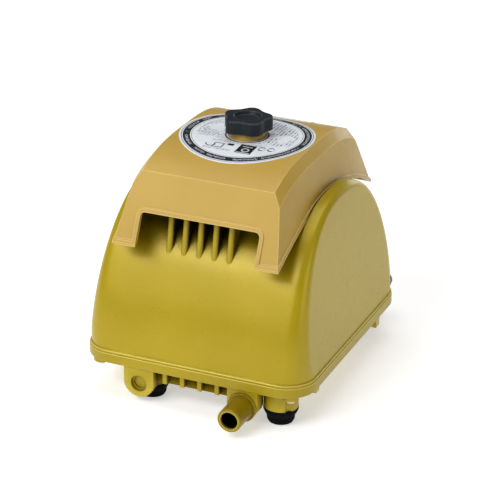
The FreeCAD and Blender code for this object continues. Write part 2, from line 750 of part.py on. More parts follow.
def tank_lid():
    nipples = []
    bores = []
    for x in (-nipple_x, nipple_x):
        nipples.append(rod(nipple_radius, (x, 0, lid_top), (x, 0, lid_top + 5)))
        bores.append(rod(nipple_bore, (x, 0, lid_bottom - 1), (x, 0, lid_top + 6)))
    lid = tank_slab(lid_bottom, lid_top).multiFuse(nipples)
    return lid.cut(Part.makeCompound(bores)).cut(tank_screw_holes(1.6, lid_bottom - 1, lid_top + 1))


def tank_screws():
    return [pan_screw(x, y, lid_top + 2.2, 2.2, 3.1, 1.45, 39.5) for x, y in tank_screws_at]


def air_sleeve():
    """The rubber sleeve between a pump head's outlet and the tank."""
    return pipe(8.4, nipple_radius + gap, (nipple_x, 0, lid_top + 0.5), (nipple_x, 0, axis_z - head_half - 0.5))


# ---- drive --------------------------------------------------------------------------------
def rubber_mount(x, y):
    half = mount_height / 2
    mount = turned([(0, 0), (8, 0), (8, 2), (6.2, half), (8, mount_height - 2), (8, mount_height), (0, mount_height)])
    mount.translate(Vector(x, y, lid_top))
    return mount.cut(rod(2.0 + gap, (x, y, lid_top + 3), (x, y, frame_bottom + 1)))


def mount_screws():
    return [pan_screw(x, y, frame_top + 2.4, 2.4, 3.6, 2.0, lid_top + 4)
            for x, y in all_corners(mount_x, mount_y)]


def drive_frame():
    plate = box(-frame_half_x, frame_half_x, -frame_half_y, frame_half_y, frame_bottom, frame_top)
    parts = []
    cuts = []
    for side in (-1, 1):
        x0, x1 = sorted((side * frame_half_x, side * (frame_half_x - frame_sheet)))
        upright = head_slab(x0, x1).fuse(box(x0, x1, -head_half, head_half, frame_bottom, axis_z))
        parts.append(upright)
        parts.append(box(-22, 22, *sorted((side * core_rear, side * core_back)), frame_top,
                         axis_z - core_half_height))
        for x in (-17, 17):
            y = side * (core_back + core_rear) / 2
            cuts.append(rod(2.0, (x, y, 72.0), (x, y, 100.0)))
    cuts.append(rod(clamp_radius, (-60, 0, axis_z), (60, 0, axis_z)))
    for y, z in all_corners(head_hole, head_hole):
        cuts.append(rod(2.1, (-60, y, axis_z + z), (60, y, axis_z + z)))
    for x, y in all_corners(mount_x, mount_y):
        cuts.append(rod(2.1, (x, y, frame_bottom - 1), (x, y, frame_top + 1)))
    return plate.multiFuse(parts).cut(Part.makeCompound(cuts)).removeSplitter()


def stator_core():
    """The E-shaped core on the rear side; its legs point at the armature."""
    z0 = axis_z - core_half_height
    outline = [(-30, core_rear), (-30, core_gap), (-22, core_gap), (-22, core_back), (-8, core_back),
               (-8, core_gap), (8, core_gap), (8, core_back), (22, core_back), (22, core_gap),
               (30, core_gap), (30, core_rear)]
    core = polygon_prism([(x, y, z0) for x, y in outline], (0, 0, 2 * core_half_height))
    middle = (core_back + core_rear) / 2
    return core.cut(Part.makeCompound([rod(2.1, (x, middle, 80), (x, middle, 130)) for x in (-17, 17)]))


def frame_ring(half_x, half_z, hole_x, hole_z, y0, y1, corner):
    """A rectangular ring round the core's middle leg."""
    ring = Part.Face(round_rect_wire(half_x, half_z, corner)).extrude(Vector(0, 0, y1 - y0))
    hole = box(-hole_x, hole_x, -hole_z, hole_z, -1, y1 - y0 + 1)
    ring = ring.cut(hole)
    ring.rotate(Vector(0, 0, 0), X_AXIS, 90)
    ring.translate(Vector(0, y1, axis_z))
    return ring


def coil_bobbin():
    sleeve = frame_ring(9.4, 15.4, 8.2, 14.2, 15.0, 35.0, 0.8)
    inner = frame_ring(21.0, 27.0, 8.2, 14.2, 15.0, 16.2, 2.0)
    outer = frame_ring(21.0, 27.0, 8.2, 14.2, 33.8, 35.0, 2.0)
    return sleeve.multiFuse([inner, outer]).removeSplitter()


def coil_winding():
    return frame_ring(19.6, 25.6, 9.5, 15.5, 16.3, 33.7, 6.0)


def stator_bolts():
    bolts = []
    top = axis_z + core_half_height
    for side in (-1, 1):
        for x in (-17, 17):
            y = side * (core_back + core_rear) / 2
            head = hex_prism(4.0, (x, y, top), (x, y, top + 2.8))
            bolts.append(head.fuse(rod(1.95, (x, y, 74.0), (x, y, top))))
    return bolts


def armature_rod():
    ends = rod(rod_end_radius, (-rod_length, 0, axis_z), (rod_length, 0, axis_z))
    return ends.fuse(rod(rod_radius, (-inner_plate_x, 0, axis_z), (inner_plate_x, 0, axis_z)))


def magnet_places():
    """Four flat magnets: one on each face of the carrier, left and right."""
    places = []
    for side in (-1, 1):
        for face in (-1, 1):
            x0, x1 = sorted((side * 12, side * 28))
            y0, y1 = sorted((face * 5, face * (5 + magnet_thickness)))
            places.append(box(x0, x1, y0, y1, axis_z - 11, axis_z + 11))
    return places


def magnet_carrier():
    body = box(-36, 36, -8, 8, axis_z - 13, axis_z + 13)
    body = body.cut(rod(rod_radius, (-40, 0, axis_z), (40, 0, axis_z)))
    return body.cut(Part.makeCompound(magnet_places()))


def diaphragm():
    """The right-hand diaphragm: a clamped square rim, one rolled fold and a flat middle."""
    x0 = frame_half_x
    x1 = outer_plate_x
    rim = head_slab(x0, x1).cut(rod(cavity_radius, (x0 - 1, 0, axis_z), (x1 + 1, 0, axis_z)))
    for y, z in all_corners(head_hole, head_hole):
        rim = rim.cut(rod(2.1, (x0 - 1, y, axis_z + z), (x1 + 1, y, axis_z + z)))
    middle = pipe(plate_radius + 1, rod_end_radius + gap, (x0, 0, axis_z), (x1, 0, axis_z))
    fold_inner = plate_radius + 1
    crest = (fold_inner + cavity_radius) / 2
    rise = 2.5
    near = [Vector(fold_inner, 0, 0), Vector(crest, 0, -rise), Vector(cavity_radius, 0, 0)]
    far = [p + Vector(0, 0, diaphragm_thickness) for p in near]
    outline = Part.Wire([Part.Arc(*near).toShape(), Part.makeLine(near[2], far[2]),
                         Part.Arc(far[2], far[1], far[0]).toShape(), Part.makeLine(far[0], near[0])])
    fold = Part.Face(outline).revolve(Vector(0, 0, 0), Z_AXIS, 360)
    fold.rotate(Vector(0, 0, 0), Y_AXIS, 90)
    fold.translate(Vector(x0, 0, axis_z))
    return rim.multiFuse([middle, fold]).removeSplitter()


def diaphragm_plates():
    inner = pipe(plate_radius, rod_end_radius + gap, (inner_plate_x, 0, axis_z), (frame_half_x, 0, axis_z))
    outer_end = outer_plate_x + plate_thickness
    outer = pipe(plate_radius, rod_end_radius + gap, (outer_plate_x, 0, axis_z), (outer_end, 0, axis_z))
    return [inner, outer]


def rod_nuts():
    start = outer_plate_x + plate_thickness
    nut = hex_prism(5.6, (start, 0, axis_z), (start + 3, 0, axis_z)).cut(
        rod(rod_end_radius + gap, (start - 1, 0, axis_z), (start + 4, 0, axis_z)))
    return both_sides([nut])


# ---- pump heads and valves ----------------------------------------------------------------
def head_screw_holes(x0, x1, radius):
    return [rod(radius, (x0, y, axis_z + z), (x1, y, axis_z + z)) for y, z in all_corners(head_hole, head_hole)]


def pump_head():
    """The right-hand head: diaphragm chamber, valve wall, then an inlet and an outlet chamber."""
    body = head_slab(outer_plate_x, head_outer_x)
    wall_outer = valve_wall_x + valve_wall
    nipple = rod(nipple_radius, (nipple_x, 0, lid_top + 7), (nipple_x, 0, axis_z - head_half + 1))
    body = body.fuse(nipple)
    cuts = [rod(cavity_radius, (outer_plate_x - 1, 0, axis_z), (valve_wall_x, 0, axis_z))]
    for side in (-1, 1):
        z = axis_z + side * port_offset
        cuts.append(rod(valve_port_radius, (valve_wall_x - 1, 0, z), (wall_outer + 1, 0, z)))
        z0, z1 = sorted((axis_z + side * 1.5, axis_z + side * 28.0))
        cuts.append(box(wall_outer, head_outer_x + 1, -24, 24, z0, z1))
    cuts.append(box(65.0, 73.0, -10, 10, axis_z + 27, axis_z + head_half + 1))
    cuts.append(rod(nipple_bore, (nipple_x, 0, lid_top + 6), (nipple_x, 0, axis_z - 27)))
    cuts += head_screw_holes(outer_plate_x - 1, head_outer_x + 1, 2.1)
    return body.cut(Part.makeCompound(cuts)).removeSplitter()


def head_cover():
    end = head_outer_x + head_cover_thickness
    plate = head_slab(head_outer_x, end)
    return plate.cut(Part.makeCompound(head_screw_holes(head_outer_x - 1, end + 1, 2.1)))


def head_screws():
    """The four long screws of the right-hand head."""
    screws = []
    seat = head_outer_x + head_cover_thickness
    for y, z in all_corners(head_hole, head_hole):
        head = rod(3.5, (seat, y, axis_z + z), (seat + 2.4, y, axis_z + z))
        crown = [e for e in head.Edges if abs(e.BoundBox.XMin - seat - 2.4) < 0.01]
        shank = rod(1.95, (frame_half_x - 7, y, axis_z + z), (seat, y, axis_z + z))
        screws.append(head.makeFillet(1.0, crown).fuse(shank))
    return screws


def head_nuts():
    """The nuts of those screws, behind the upright of the frame."""
    nuts = []
    back = frame_half_x - frame_sheet
    for y, z in all_corners(head_hole, head_hole):
        nut = hex_prism(3.8, (back - 3, y, axis_z + z), (back, y, axis_z + z))
        nuts.append(nut.cut(rod(2.0, (back - 4, y, axis_z + z), (back + 1, y, axis_z + z))))
    return nuts


def inlet_flap():
    """Lies on the chamber side of the valve wall and hangs from its top edge."""
    x1 = valve_wall_x - gap
    top = axis_z + port_offset + flap_length / 2
    return box(x1 - flap_thickness, x1, -flap_half_width, flap_half_width, top - flap_length, top)


def outlet_flap():
    """Lies on the outer side of the valve wall and hangs from its top edge."""
    x0 = valve_wall_x + valve_wall + gap
    top = axis_z - port_offset + flap_length / 2
    return box(x0, x0 + flap_thickness, -flap_half_width, flap_half_width, top - flap_length, top)


def flap_clips():
    """The bars that hold the flaps' top edges, on both sides of the right-hand valve wall."""
    clips = []
    swing_room = 0.7
    inlet_top = axis_z + port_offset + flap_length / 2 + swing_room
    outlet_top = axis_z - port_offset + flap_length / 2 + swing_room
    wall_outer = valve_wall_x + valve_wall
    for x0, x1, z in ((valve_wall_x - 2, valve_wall_x, inlet_top), (wall_outer, wall_outer + 2, outlet_top)):
        clips.append(box(x0, x1, -flap_half_width, flap_half_width, z, z + 2.6))
    return clips


# ---- wiring -------------------------------------------------------------------------------
def terminal_block():
    middle = 27
    body = box(middle - 20, middle + 20, 50, 62, lid_top, lid_top + 12)
    cuts = []
    for x in (middle - 13, middle, middle + 13):
        cuts.append(rod(2.4, (x, 56, lid_top + 5), (x, 56, lid_top + 13)))
        cuts.append(rod(1.8, (x, 49, lid_top + 4), (x, 63, lid_top + 4)))
    return body.cut(Part.makeCompound(cuts))


def terminal_screws():
    screws = []
    for x in (14, 27, 40):
        screw = rod(2.2, (x, 56, lid_top + 7), (x, 56, lid_top + 10))
        screws.append(screw.cut(box(x - 3, x + 3, 55.7, 56.3, lid_top + 9, lid_top + 11)))
    return screws


# ---- the assembly -------------------------------------------------------------------------
def assembly():
    """Every node of the pump, by name."""
    nodes = {
        "base_housing": base_housing(),
        "housing_gasket": housing_gasket(),
        "upper_housing": upper_housing(),
        "housing_screws": housing_screws(),
        "foot_screws": foot_screws(),
        "outlet_nozzle": outlet_nozzle(),
        "cable_gland": cable_gland(),
        "filter_cover": filter_cover(),
        "cover_label": cover_label(),
        "rear_label": rear_label(),
        "star_knob": star_knob(),
        "knob_insert": knob_insert(),
        "knob_washer": knob_washer(),
        "cover_stud": cover_stud(),
        "stud_nut": stud_nut(),
        "filter_pad": filter_pad(),
        "air_tank": air_tank(),
        "tank_gasket": tank_gasket(),
        "tank_lid": tank_lid(),
        "tank_screws": tank_screws(),
        "rubber_mounts": [rubber_mount(x, y) for x, y in all_corners(mount_x, mount_y)],
        "mount_screws": mount_screws(),
        "drive_frame": drive_frame(),
        "stator_bolts": stator_bolts(),
        "armature_rod": armature_rod(),
        "magnet_carrier": magnet_carrier(),
        "magnets": magnet_places(),
        "rod_nuts": rod_nuts(),
        "head_screws": both_sides(head_screws()),
        "head_nuts": both_sides(head_nuts()),
        "terminal_block": terminal_block(),
        "terminal_screws": terminal_screws(),
    }
    for name, (x, y) in feet.items():
        nodes[name] = rubber_foot(x, y)
    fore_and_aft = {"stator_core": stator_core(), "coil_bobbin": coil_bobbin(), "coil_winding": coil_winding()}
    for name, shape in fore_and_aft.items():
        nodes[name + "_rear"] = shape
        nodes[name + "_front"] = shape.mirror(Vector(0, 0, 0), Y_AXIS)
    sided = {
        "diaphragm": diaphragm(),
        "diaphragm_plates": diaphragm_plates(),
        "pump_head": pump_head(),
        "head_cover": head_cover(),
        "inlet_flap": inlet_flap(),
        "outlet_flap": outlet_flap(),
        "flap_clips": flap_clips(),
        "air_sleeve": air_sleeve(),
    }
    for name, shape in sided.items():
        nodes[name + "_right"] = shape
        nodes[name + "_left"] = [mirrored(s) for s in shape] if isinstance(shape, list) else mirrored(shape)
    return nodes


def main():
    os.makedirs("parts", exist_ok=True)
    for name, shape in assembly().items():
        solid = Part.makeCompound(shape) if isinstance(shape, list) else shape
        solid.exportStep("parts/" + name + ".step")
        print(name, "solids", len(solid.Solids), "valid", solid.isValid(), "volume", round(solid.Volume))


main()
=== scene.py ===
import math

import bpy
from mathutils import Matrix, Vector


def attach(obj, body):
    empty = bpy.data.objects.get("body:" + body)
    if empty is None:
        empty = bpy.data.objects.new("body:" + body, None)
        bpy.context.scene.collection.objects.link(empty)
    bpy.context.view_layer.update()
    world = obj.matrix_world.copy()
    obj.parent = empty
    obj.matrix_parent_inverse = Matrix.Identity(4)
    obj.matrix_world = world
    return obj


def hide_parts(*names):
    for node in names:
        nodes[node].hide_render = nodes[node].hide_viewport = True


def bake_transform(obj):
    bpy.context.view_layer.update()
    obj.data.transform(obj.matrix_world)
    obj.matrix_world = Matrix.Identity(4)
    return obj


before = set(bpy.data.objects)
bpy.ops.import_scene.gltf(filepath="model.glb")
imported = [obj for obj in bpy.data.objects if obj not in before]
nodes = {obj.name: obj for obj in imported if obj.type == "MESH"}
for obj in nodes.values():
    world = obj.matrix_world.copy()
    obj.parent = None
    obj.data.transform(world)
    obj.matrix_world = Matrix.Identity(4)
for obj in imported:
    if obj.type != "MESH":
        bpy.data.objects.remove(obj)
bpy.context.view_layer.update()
scene = bpy.context.scene

# Places on the pump, in millimetres
BEAD_TOP = 42.2
RIM_TOP = 40.0
SEAM = (38.4, 45.0)                  # heights between which the seam shows
UNDER_COVER = (112.0, 130.0)         # the cover starts to shade the housing, and shades it fully
NEAR_ENDS = (55.0, 68.0)             # distance from the middle where the cover's cutouts begin
FINS_X = (-39.0, 34.6)
FINS_Y = (-109.4, -106.0)            # just behind the fins' front faces
FINS_TOP = (27.8, 28.4)
FINS_LOW, FINS_HIGH = 18.0, 27.5
NOZZLE_X, NOZZLE_Z = 46.5, 16.5
BORE = (7.45, 7.6)
BORE_MOUTH = (-138.8, -136.5)


# ---- node-tree helpers ----------------------------------------------------------------------
class Tree:
    """A material's node tree with short calls for the nodes used here."""

    def __init__(self, name):
        self.mat = bpy.data.materials.new(name)
        self.mat.use_nodes = True
        self.nt = self.mat.node_tree
        self.nt.nodes.clear()
        self.out = self.nt.nodes.new("ShaderNodeOutputMaterial")
        self.bsdf = self.nt.nodes.new("ShaderNodeBsdfPrincipled")
        self.nt.links.new(self.bsdf.outputs[0], self.out.inputs[0])
        self.coord = self.nt.nodes.new("ShaderNodeTexCoord")

    def put(self, socket, value):
        """Links a socket, or sets a value, spreading or padding it where the socket wants more numbers."""
        if isinstance(value, bpy.types.NodeSocket):
            self.nt.links.new(value, socket)
        elif hasattr(socket.default_value, "__len__") and not hasattr(value, "__len__"):
            socket.default_value = [value] * len(socket.default_value)
        elif hasattr(value, "__len__") and len(socket.default_value) == 4 and len(value) == 3:
            socket.default_value = (*value, 1.0)
        else:
            socket.default_value = value

    def place(self):
        """Object coordinates in millimetres."""
        return self.vec("SCALE", self.coord.outputs["Object"], scale=1000.0)

    def vec(self, op, a, b=None, scale=None):
        n = self.nt.nodes.new("ShaderNodeVectorMath")
        n.operation = op
        self.put(n.inputs[0], a)
        if b is not None:
            self.put(n.inputs[1], b)
        if scale is not None:
            self.put(n.inputs["Scale"], scale)
        return n.outputs["Value"] if op in ("LENGTH", "DOT_PRODUCT", "DISTANCE") else n.outputs["Vector"]

    def math(self, op, a, b=None):
        n = self.nt.nodes.new("ShaderNodeMath")
        n.operation = op
        self.put(n.inputs[0], a)
        if b is not None:
            self.put(n.inputs[1], b)
        return n.outputs[0]

    def noise(self, size, detail=2.0, rough=0.5, at=None):
        """Noise with features of about that many millimetres."""
        n = self.nt.nodes.new("ShaderNodeTexNoise")
        self.put(n.inputs["Vector"], at or self.place())
        n.inputs["Scale"].default_value = 1.0 / size
        n.inputs["Detail"].default_value = detail
        n.inputs["Roughness"].default_value = rough
        return n.outputs["Fac"]

    def cells(self, size, feature="F1", output="Distance"):
        """Cells of about that many millimetres."""
        n = self.nt.nodes.new("ShaderNodeTexVoronoi")
        n.feature = feature
        self.put(n.inputs["Vector"], self.place())
        n.inputs["Scale"].default_value = 1.0 / size
        return n.outputs[output]

    def ramp(self, value, low, high, to_low=0.0, to_high=1.0):
        """A smooth step from to_low at low to to_high at high."""
        n = self.nt.nodes.new("ShaderNodeMapRange")
        n.interpolation_type = "SMOOTHSTEP"
        keys = ("Value", "From Min", "From Max", "To Min", "To Max")
        for key, v in zip(keys, (value, low, high, to_low, to_high)):
            self.put(n.inputs[key], v)
        return n.outputs[0]

    def mix(self, share, a, b):
        n = self.nt.nodes.new("ShaderNodeMix")
        n.data_type = "RGBA"
        self.put(n.inputs[0], share)
        self.put(n.inputs[6], a)
        self.put(n.inputs[7], b)
        return n.outputs[2]

    def split(self, v):
        n = self.nt.nodes.new("ShaderNodeSeparateXYZ")
        self.put(n.inputs[0], v)
        return n.outputs

    def join(self, x, y, z):
        n = self.nt.nodes.new("ShaderNodeCombineXYZ")
        for socket, value in zip(n.inputs, (x, y, z)):
            self.put(socket, value)
        return n.outputs[0]

    def bump(self, height, strength, distance_mm, after=None):
        n = self.nt.nodes.new("ShaderNodeBump")
        n.inputs["Strength"].default_value = strength
        n.inputs["Distance"].default_value = distance_mm * 0.001
        self.put(n.inputs["Height"], height)
        if after is not None:
            self.put(n.inputs["Normal"], after)
        return n.outputs[0]

    def edge_highlight(self):
        """1 on sharp outer edges."""
        g = self.nt.nodes.new("ShaderNodeNewGeometry")
        return self.ramp(g.outputs["Pointiness"], 0.52, 0.6)

    def soft_edges(self, radius_mm):
        """Normals rounded off at the edges."""
        n = self.nt.nodes.new("ShaderNodeBevel")
        n.samples = 4
        n.inputs["Radius"].default_value = radius_mm * 0.001
        return n.outputs[0]

    def creases(self, radius_mm):
        """1 along outer edges that bend, 0 on faces and in corners."""
        g = self.nt.nodes.new("ShaderNodeNewGeometry")
        same = self.vec("DOT_PRODUCT", self.soft_edges(radius_mm), g.outputs["Normal"])
        bend = self.math("SUBTRACT", 1.0, same)
        return self.math("MULTIPLY", self.ramp(bend, 0.003, 0.025), self.ramp(self.hollow(2.5), 0.55, 0.8))

    def hollow(self, distance_mm):
        """0 in corners and gaps, 1 in the open."""
        n = self.nt.nodes.new("ShaderNodeAmbientOcclusion")
        n.inputs["Distance"].default_value = distance_mm * 0.001
        n.samples = 4
        return n.outputs["AO"]

    def finish(self, colour, rough, metallic=0.0, normal=None, **more):
        """Fills the Principled shader; more names its other inputs with _ for spaces."""
        self.put(self.bsdf.inputs["Base Color"], colour)
        self.put(self.bsdf.inputs["Roughness"], rough)
        self.put(self.bsdf.inputs["Metallic"], metallic)
        if normal is not None:
            self.put(self.bsdf.inputs["Normal"], normal)
        for key, value in more.items():
            self.put(self.bsdf.inputs[key.replace("_", " ")], value)
        return self.mat


def srgb(r, g, b):
    """Linear colour from 0-255 display values."""
    def one(c):
        c /= 255.0
        return c / 12.92 if c <= 0.04045 else ((c + 0.055) / 1.055) ** 2.4
    return (one(r), one(g), one(b))


# ---- masks -----------------------------------------------------------------------------------
def band(t, value, low, high, soft=0.25):
    """1 between low and high, 0 outside."""
    return t.math("MULTIPLY", t.ramp(value, low - soft, low), t.ramp(value, high, high + soft, 1.0, 0.0))


def either(t, *masks):
    """1 where any mask is 1."""
    total = masks[0]
    for mask in masks[1:]:
        total = t.math("MAXIMUM", total, mask)
    return total


def both(t, *masks):
    """1 where every mask is 1."""
    total = masks[0]
    for mask in masks[1:]:
        total = t.math("MULTIPLY", total, mask)
    return total


def patch(t, x, y, middle, half, soft=0.2):
    """1 inside an upright rectangle."""
    u = t.math("ABSOLUTE", t.math("SUBTRACT", x, middle[0]))
    v = t.math("ABSOLUTE", t.math("SUBTRACT", y, middle[1]))
    return t.math("MULTIPLY", t.ramp(u, half[0], half[0] + soft, 1.0, 0.0),
                  t.ramp(v, half[1], half[1] + soft, 1.0, 0.0))


def loop(t, x, y, middle, radius, width):
    """1 on a ring."""
    out = t.vec("LENGTH", t.join(t.math("SUBTRACT", x, middle[0]), t.math("SUBTRACT", y, middle[1]), 0.0))
    return band(t, out, radius - width / 2, radius + width / 2, 0.15)


def marks(t, u, v, row, size, level=0.5):
    """Rows of short marks that stand for printing and spell nothing; a lower level gives more of them."""
    in_row = t.ramp(t.math("PINGPONG", t.math("DIVIDE", v, row), 0.5), 0.2, 0.28)
    line = t.math("FLOOR", t.math("DIVIDE", v, row))
    at = t.join(t.math("DIVIDE", u, size), t.math("MULTIPLY", line, 7.3), 0.0)
    strokes = t.ramp(t.noise(1.0, 1.0, at=at), level - 0.02, level + 0.02)
    return both(t, in_row, strokes)


# ---- materials ------------------------------------------------------------------------------
def gold_paint(name, colour, deep, rough, painted_shade_at=None):
    """Satin paint with a fine fleck and slight orange peel; painted highlights along sharp edges and the top
    edges of the rim and the bead, painted shade in gaps, and a painted dark nozzle bore.

    The last argument says where more painted shade goes: under the cover or between the fins.
    """
    t = Tree(name)
    x, y, z = t.split(t.place())
    fleck = t.cells(0.5, output="Color")
    base = t.mix(t.ramp(t.noise(70.0, 2.0), 0.3, 0.7), colour, deep)
    base = t.mix(t.ramp(t.split(fleck)[0], 0.5, 1.0, 0.0, 0.08), base, srgb(214, 196, 70))
    # painted highlight: sharp outer edges lightened towards a pale gold
    base = t.mix(t.math("MULTIPLY", t.edge_highlight(), 0.3), base, srgb(225, 210, 90))
    # painted highlight: a pale line along the top edges of the rim and the bead
    seam_highlight = either(t, band(t, z, RIM_TOP - 0.7, RIM_TOP, 0.3), band(t, z, BEAD_TOP - 0.7, BEAD_TOP, 0.3))
    base = t.mix(t.math("MULTIPLY", seam_highlight, 0.45), base, srgb(232, 214, 104))
    # painted shade: gaps and corners darkened, less so along the seam
    painted_shade = t.ramp(t.hollow(8.0), 0.15, 0.75, 0.75, 0.0)
    painted_shade = t.math("MULTIPLY", painted_shade, t.ramp(band(t, z, *SEAM, 0.6), 0.0, 1.0, 1.0, 0.25))
    shine = 0.3
    # painted shade under the cover, widest near the cutouts
    if painted_shade_at == "cover":
        high = t.ramp(z, *UNDER_COVER)
        near_ends = t.ramp(t.math("ABSOLUTE", y), *NEAR_ENDS)
        wide = both(t, high, t.ramp(t.hollow(38.0), 0.38, 0.85, 0.96, 0.0), near_ends)
        close = both(t, high, t.ramp(t.hollow(14.0), 0.35, 0.8, 0.9, 0.0))
        painted_shade = either(t, painted_shade, wide, close)
    # painted shade between the fins, darker towards the bottom
    if painted_shade_at == "fins":
        between = both(t, band(t, x, *FINS_X, 0.2), t.ramp(y, *FINS_Y), t.ramp(z, *FINS_TOP, 1.0, 0.0))
        painted_shade = either(t, painted_shade, t.math("MULTIPLY", between, t.ramp(z, FINS_LOW, FINS_HIGH, 0.55, 0.9)))
    if painted_shade_at:
        shine = t.ramp(painted_shade, 0.1, 0.7, 0.3, 0.0)
    # mixes the painted shade in as a dark brown
    base = t.mix(painted_shade, base, srgb(24, 13, 0))
    off_x = t.math("SUBTRACT", x, NOZZLE_X)
    off_z = t.math("SUBTRACT", z, NOZZLE_Z)
    off = t.vec("LENGTH", t.join(off_x, off_z, 0.0))
    # painted shade inside the nozzle bore
    bore_shade = t.math("MULTIPLY", t.ramp(off, *BORE, 1.0, 0.0), t.ramp(y, *BORE_MOUTH))
    base = t.mix(bore_shade, base, srgb(20, 17, 4))
    r = t.math("ADD", t.ramp(t.noise(14.0, 3.0), 0.3, 0.7, rough - 0.012, rough + 0.018),
               t.ramp(t.split(fleck)[1], 0.0, 1.0, -0.03, 0.03))
    normal = t.bump(t.noise(0.9, 2.0), 0.07, 0.07, t.soft_edges(0.5))
    return t.finish(base, r, 0.15, normal, Specular_IOR_Level=shine)


def grained_plastic(name, colour, deep, rough, grain=0.55, strength=0.3, crease_highlight=None, shine=0.45):
    """Moulded plastic with a fine spark-eroded grain, painted shade in its corners and, where a colour is
    given, a painted highlight along its outer creases.
    """
    t = Tree(name)
    cloud = t.noise(55.0, 3.0)
    grains = t.noise(grain, 3.0, 0.6)
    base = t.mix(t.ramp(cloud, 0.3, 0.7), colour, deep)
    base = t.mix(t.ramp(grains, 0.35, 0.7, 0.0, 0.16), base, tuple(c * 0.72 for c in deep))
    # painted shade: darker in corners and gaps
    base = t.mix(t.ramp(t.hollow(10.0), 0.12, 0.6, 0.7, 0.0), base, tuple(c * 0.12 for c in deep))
    # painted highlight: outer creases lightened
    if crease_highlight is not None:
        base = t.mix(t.math("MULTIPLY", t.creases(0.9), 0.8), base, crease_highlight)
    r = t.ramp(t.noise(9.0, 4.0), 0.3, 0.7, rough - 0.05, rough + 0.06)
    return t.finish(base, r, 0.0, t.bump(grains, strength, 0.08, t.soft_edges(0.5)), Specular_IOR_Level=shine)


def rubber(name, colour):
    """Dull rubber with a little dust."""
    t = Tree(name)
    dust = t.ramp(t.noise(6.0, 5.0, 0.6), 0.5, 0.8, 0.0, 0.25)
    base = t.mix(dust, colour, tuple(c * 2.0 + 0.004 for c in colour))
    return t.finish(base, t.ramp(t.noise(3.0, 3.0), 0.3, 0.7, 0.7, 0.9), 0.0,
                    t.bump(t.noise(0.5, 2.0), 0.25, 0.08), Specular_IOR_Level=0.06)


def metal(name, colour, rough, brush=(1.0, 1.0, 1.0), stain=0.12, thread=0.0):
    """Brushed metal with faint stains; thread is the pitch of a thread round the Z axis."""
    t = Tree(name)
    lines = t.noise(0.6, 3.0, at=t.vec("MULTIPLY", t.place(), brush))
    cloud = t.noise(5.0, 4.0, 0.6)
    base = t.mix(t.ramp(cloud, 0.4, 0.8, 0.0, stain), colour, tuple(c * 0.45 for c in colour))
    r = t.math("ADD", t.ramp(cloud, 0.3, 0.7, rough - 0.06, rough + 0.08),
               t.ramp(lines, 0.3, 0.7, -0.05, 0.05))
    normal = t.bump(lines, 0.12, 0.04)
    if thread:
        x, y, z = t.split(t.place())
        turn = t.math("DIVIDE", t.math("ARCTAN2", y, x), 2 * math.pi)
        wave = t.math("PINGPONG", t.math("SUBTRACT", t.math("DIVIDE", z, thread), turn), 0.5)
        normal = t.bump(wave, 0.9, 0.8, normal)
        # painted shade: darker in the thread's grooves
        base = t.mix(t.ramp(wave, 0.0, 0.25, 0.5, 0.0), base, tuple(c * 0.2 for c in colour))
    return t.finish(base, r, 1.0, normal)


def laminations(name):
    """Varnished sheets stacked upright, with a rust tint here and there."""
    t = Tree(name)
    sheet_thickness = 0.5
    z = t.split(t.place())[2]
    sheet = t.math("PINGPONG", t.math("DIVIDE", z, sheet_thickness), 0.5)
    base = t.mix(t.ramp(sheet, 0.05, 0.3), (0.03, 0.03, 0.035), (0.16, 0.16, 0.17))
    base = t.mix(t.ramp(t.noise(7.0, 4.0), 0.58, 0.75, 0.0, 0.5), base, (0.12, 0.055, 0.025))
    return t.finish(base, t.ramp(t.noise(4.0), 0.3, 0.7, 0.35, 0.55), 0.7, t.bump(sheet, 0.5, 0.15))


def winding(name):
    """Enamelled copper wire wound round the core, in rows."""
    t = Tree(name)
    wire_thickness = 0.6
    y = t.split(t.place())[1]
    wander = t.ramp(t.noise(9.0), 0.0, 1.0, 0.0, 0.6)
    wire = t.math("PINGPONG", t.math("ADD", t.math("DIVIDE", y, wire_thickness), wander), 0.5)
    # painted shade: darker between the wires
    base = t.mix(t.ramp(wire, 0.0, 0.3), (0.10, 0.022, 0.008), (0.62, 0.23, 0.09))
    base = t.mix(t.ramp(t.noise(5.0, 3.0), 0.35, 0.7, 0.0, 0.35), base, (0.35, 0.10, 0.03))
    return t.finish(base, 0.3, 0.8, t.bump(wire, 0.8, 0.25), Coat_Weight=0.5, Coat_Roughness=0.2)


def foam(name):
    """Open-cell filter foam, greyer where dust has settled."""
    t = Tree(name)
    cell = t.cells(1.3, "DISTANCE_TO_EDGE")
    wall = t.ramp(cell, 0.02, 0.22)
    # painted shade: the pores darker than the cell walls
    base = t.mix(wall, (0.30, 0.29, 0.25), (0.035, 0.034, 0.03))
    base = t.mix(t.ramp(t.noise(11.0, 4.0), 0.4, 0.7, 0.0, 0.5), base, (0.16, 0.15, 0.13))
    return t.finish(base, 0.95, 0.0, t.bump(wall, 0.9, -0.5), Specular_IOR_Level=0.1)


